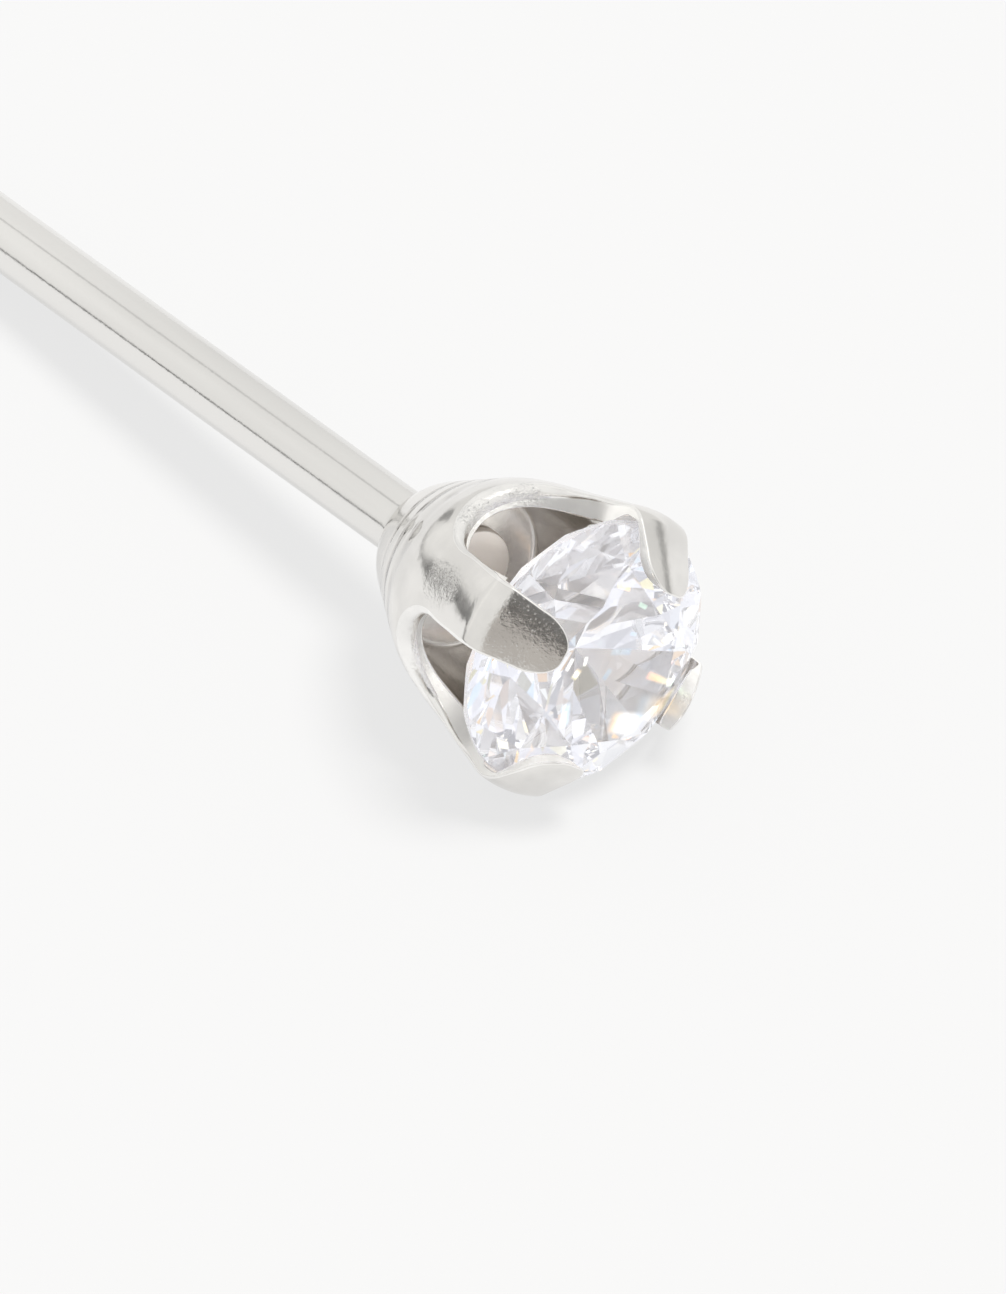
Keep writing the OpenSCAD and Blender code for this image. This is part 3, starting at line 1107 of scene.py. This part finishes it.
# %% Floor
CARD_GREY = 0.098
CARD_GLOW = 0.727
deselect()
bpy.ops.mesh.primitive_plane_add(size=3.0, location=(0, 0, 0))
floor = bpy.context.object
floor.name = "floor"
floor_white, tree, output = new_material("white_card")
card = node(tree, "ShaderNodeBsdfDiffuse", {"Color": (CARD_GREY, CARD_GREY, CARD_GREY, 1)})
card_glow = node(tree, "ShaderNodeEmission", {"Color": (1, 1, 1, 1), "Strength": CARD_GLOW})
card_sum = node(tree, "ShaderNodeAddShader", {0: card.outputs[0], 1: card_glow.outputs[0]})
tree.links.new(card_sum.outputs[0], output.inputs["Surface"])
floor.data.materials.append(floor_white)
print("floor, m:", [round(value, 2) for value in floor.dimensions])

# %% [markdown]
# Polished metal mirrors the tent, so it looks white nearly everywhere. Its dark lines are what
# isn't white round about: the gap between the card and the tent, a seam of the tent, the hole for
# the camera, and a stand. The world paints those by direction. Masks are cones of directions or
# bands between two heights, and each takes away or adds a share of the light.

# %% Helpers for the tent
TENT = 0.86
KEY_FROM = Vector((0.271, -0.234, 0.934))
world = bpy.data.worlds.new("white_tent")
world.use_nodes = True
sky = world.node_tree
sky.nodes.clear()
world_output = sky.nodes.new("ShaderNodeOutputWorld")
direction = node(sky, "ShaderNodeTexCoord").outputs["Generated"]
rise = part_along(sky, direction, "Z")


def towards(middle):
    """How nearly a ray runs in a direction, as a cosine."""
    return vector_maths(sky, "DOT_PRODUCT", direction, Vector(middle).normalized())["Value"]


def cone(middle, inner, outer):
    """1 inside a cone of directions and 0 outside it. The angles are in degrees."""
    edges = [math.cos(math.radians(angle)) for angle in (outer, inner)]
    return ranged(sky, towards(middle), *edges)


def between(low, high):
    """1 where a ray rises between two heights, given as sines, with soft ends."""
    starts = ranged(sky, rise, low - 0.012, low + 0.012)
    return times(sky, starts, ranged(sky, rise, high - 0.02, high + 0.02, 1.0, 0.0))


def darkened(light, where, share):
    """Takes a share of the light away where the mask is 1."""
    return times(sky, light, maths(sky, "SUBTRACT", 1.0, times(sky, where, share)))


def lightened(light, where, more):
    """Adds light where the mask is 1."""
    return plus(sky, light, times(sky, where, more))


# %% What the metal mirrors
# Each gap is the heights between which it lies, its middle, its two angles and its share.
GAPS = [
    ((-0.012, 0.07), (-0.721, 0.692, 0.01), (9, 14), 0.65),
    ((0.0, 0.115), (-0.391, 0.92, 0.06), (6, 11), 0.68),
    ((0.03, 0.11), (0.99, -0.13, 0.06), (12, 16), 0.5),
]
POST_AXIS = (0, 0.996, -0.089)
POST_MIRRORS = 0.676

light = ranged(sky, rise, -0.2, 0.8, 0.92, 1.06)
west = ranged(sky, part_along(sky, direction, "X"), -0.1, 0.2, 1.0, 0.0)
light = darkened(light, times(sky, between(-0.014, 0.037), west), 0.54)
for heights, middle, angles, share in GAPS:
    light = darkened(light, times(sky, between(*heights), cone(middle, *angles)), share)
light = darkened(light, cone((0.138, 0.985, 0.105), 2.5, 5.5), 0.6)
light = lightened(light, cone((-0.1, 0.966, 0.24), 7, 12), 0.12)

seam = maths(sky, "ABSOLUTE", towards((0.998, -0.006, -0.066)))
seam = times(sky, ranged(sky, seam, 0.01, 0.055, 1.0, 0.0), cone((0.048, 0.75, 0.66), 14, 22))
light = darkened(light, seam, 0.37)
# A round post mirrors one ring of directions about its own axis, and that ring is a little lighter.
off_ring = maths(sky, "ABSOLUTE", maths(sky, "SUBTRACT", towards(POST_AXIS), POST_MIRRORS))
ring = times(sky, ranged(sky, off_ring, 0.03, 0.08, 1.0, 0.0), ranged(sky, rise, 0.0, 0.1))
light = lightened(light, ring, 0.09)

hole = cone((-0.284, -0.678, 0.678), 15.5, 18)
light = darkened(light, hole, 0.74)
glare = cone(KEY_FROM, 8, 17)
light = lightened(light, glare, 0.8)
stand = cone((-0.58, -0.69, 0.40), 17, 22)
light = darkened(light, stand, 0.36)

# %% [markdown]
# The tent gives matte surfaces a little more light than the mirrored picture of it has. Rays that
# have been inside the stone see surroundings of their own: nearly white, softly patchy, darker low
# in front, and with narrow bands of colour, which turn up as fire in the small facets. The camera
# sees a plain background.

# %% What matte surfaces, the stone and the camera see
BACKGROUND = 0.94
ray = node(sky, "ShaderNodeLightPath").outputs
matte_more = plus(sky, 1.0, times(sky, ray["Is Diffuse Ray"], 0.1))
light = times(sky, light, matte_more)
tone = mixed_colour(sky, stand, (1.0, 0.995, 0.98, 1), (1.0, 0.95, 0.9, 1))
tent = node(sky, "ShaderNodeBackground", {"Color": tone, "Strength": times(sky, light, TENT)})

fire = ramp(
    sky,
    noise(sky, direction, 2.6, 2.0, 0.5),
    [
        (0.0, (0.93, 0.94, 1.0)),
        (0.56, (0.95, 0.95, 1.0)),
        (0.60, ORANGE),
        (0.625, YELLOW),
        (0.65, WHITE),
        (0.68, SKY),
        (0.72, (0.93, 0.93, 1.0)),
    ],
)
shade = ranged(sky, noise(sky, direction, 3.7, 1.0), 0.35, 0.62, 1.04, 0.82)
shade = darkened(lightened(shade, glare, 0.4), cone((0, -1, 0.05), 14, 34), 0.4)
stone_light = node(sky, "ShaderNodeBackground", {"Color": fire, "Strength": shade})
plain = node(sky, "ShaderNodeBackground", {"Color": (1, 1, 1, 1), "Strength": BACKGROUND})

through_stone = maths(sky, "GREATER_THAN", ray["Transmission Depth"], 0.5)
seen = node(
    sky, "ShaderNodeMixShader", {0: through_stone, 1: tent.outputs[0], 2: stone_light.outputs[0]}
)
shown = node(
    sky, "ShaderNodeMixShader", {0: ray["Is Camera Ray"], 1: seen.outputs[0], 2: plain.outputs[0]}
)
sky.links.new(shown.outputs[0], world_output.inputs["Surface"])
bpy.context.scene.world = world
print("nodes of the world:", len(sky.nodes))

# %% [markdown]
# One wide, even light stands high over the stone's right side, and it makes the soft shadow on the
# card. It is a sun lamp with a large angle, because a lamp near by would leave a bright pool on the
# card, which low views would show. Neither the metal nor the stone mirrors the lamp itself. A clear
# stone bounces light to and fro many times, so it also needs more bounces than usual, or it turns
# dark.

# %% Key light and bounces
key_data = bpy.data.lights.new("key", "SUN")
key_data.angle = math.radians(23)
key_data.energy = 4.37
key_data.color = (1.0, 0.985, 0.96)
key = bpy.data.objects.new("key", key_data)
bpy.context.scene.collection.objects.link(key)
key.visible_glossy = False
key.visible_transmission = False
key.rotation_euler = KEY_FROM.to_track_quat("Z", "Y").to_euler()
bpy.context.scene.view_settings.view_transform = "Standard"
bpy.context.scene.cycles.max_bounces = 20
bpy.context.scene.cycles.glossy_bounces = 14
bpy.context.scene.cycles.transmission_bounces = 16
print("key light, W/m2:", round(key_data.energy, 2))

# %% [markdown]
# ## The pieces on the body of the stud
#
# Each piece rides on the one body of the stud and stands for its CAD solid, which is hidden.

# %% Join the pieces to the frame
for piece, solid in ((post, "post"), (setting, "claw_setting"), (stone, "stone")):
    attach(piece, "root")
    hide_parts(solid)
